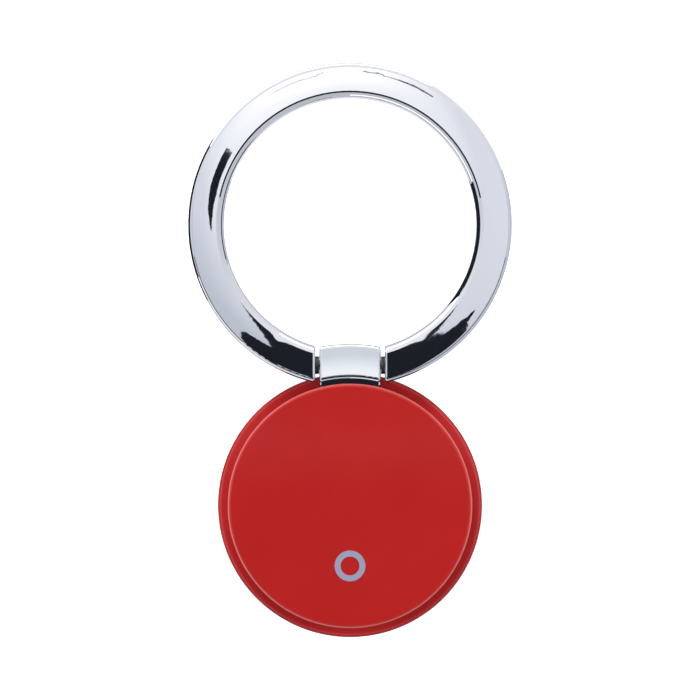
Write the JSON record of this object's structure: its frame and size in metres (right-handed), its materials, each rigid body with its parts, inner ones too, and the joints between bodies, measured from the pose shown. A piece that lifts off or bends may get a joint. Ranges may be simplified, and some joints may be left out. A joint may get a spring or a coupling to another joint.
{
  "type": "phone ring holder",
  "caption": "Finger-ring grip and kickstand for the back of a phone: round adhesive base, swivelling bracket and a chromed ring that folds over and nests round the cover.",
  "frame": {"origin": "centre of the adhesive pad's back face, which goes against the phone", "axes": "+Z out of the phone through the cover's face, +Y from the base towards the hinge and the open ring, +X along the hinge axis to the right"},
  "size_m": [0.041, 0.0729, 0.0048],
  "materials": {
    "red_paint": "satin",
    "chrome_plate": "polished",
    "adhesive": "matte",
    "steel": "satin",
    "spring_steel": "gloss",
    "slide_washer": "satin",
    "tape": "matte",
    "emblem_silver": "satin",
    "bronze": "satin",
    "dark_washer": "satin"
  },
  "bodies": {
    "base": {"adhesive_pad": "adhesive", "base_plate": "red_paint", "centre_rivet": "steel", "lower_friction_washer": "slide_washer", "upper_friction_washer": "slide_washer", "curved_spring_washer": "spring_steel", "retaining_plate": "steel", "cover_tape": "tape", "top_cover": "red_paint", "emblem": "emblem_silver"},
    "swivel": {"swivel_bracket": "chrome_plate", "friction_sleeve_left": "bronze", "friction_sleeve_right": "bronze", "hinge_spring": "spring_steel"},
    "ring": {"finger_ring": "chrome_plate", "hinge_pin_left": "steel", "hinge_pin_right": "steel", "hinge_washer_left": "dark_washer", "hinge_washer_right": "dark_washer"}
  },
  "joints": [
    {"name": "bracket_swivel", "type": "hinge", "parent": "base", "child": "swivel", "pos_m": [0, 0, 0], "axis": [0, 0, 1], "continuous": true},
    {"name": "ring_fold", "type": "hinge", "parent": "swivel", "child": "ring", "pos_m": [0, 0.0178, 0.00345], "axis": [1, 0, 0], "range_deg": [0, 180]}
  ]
}
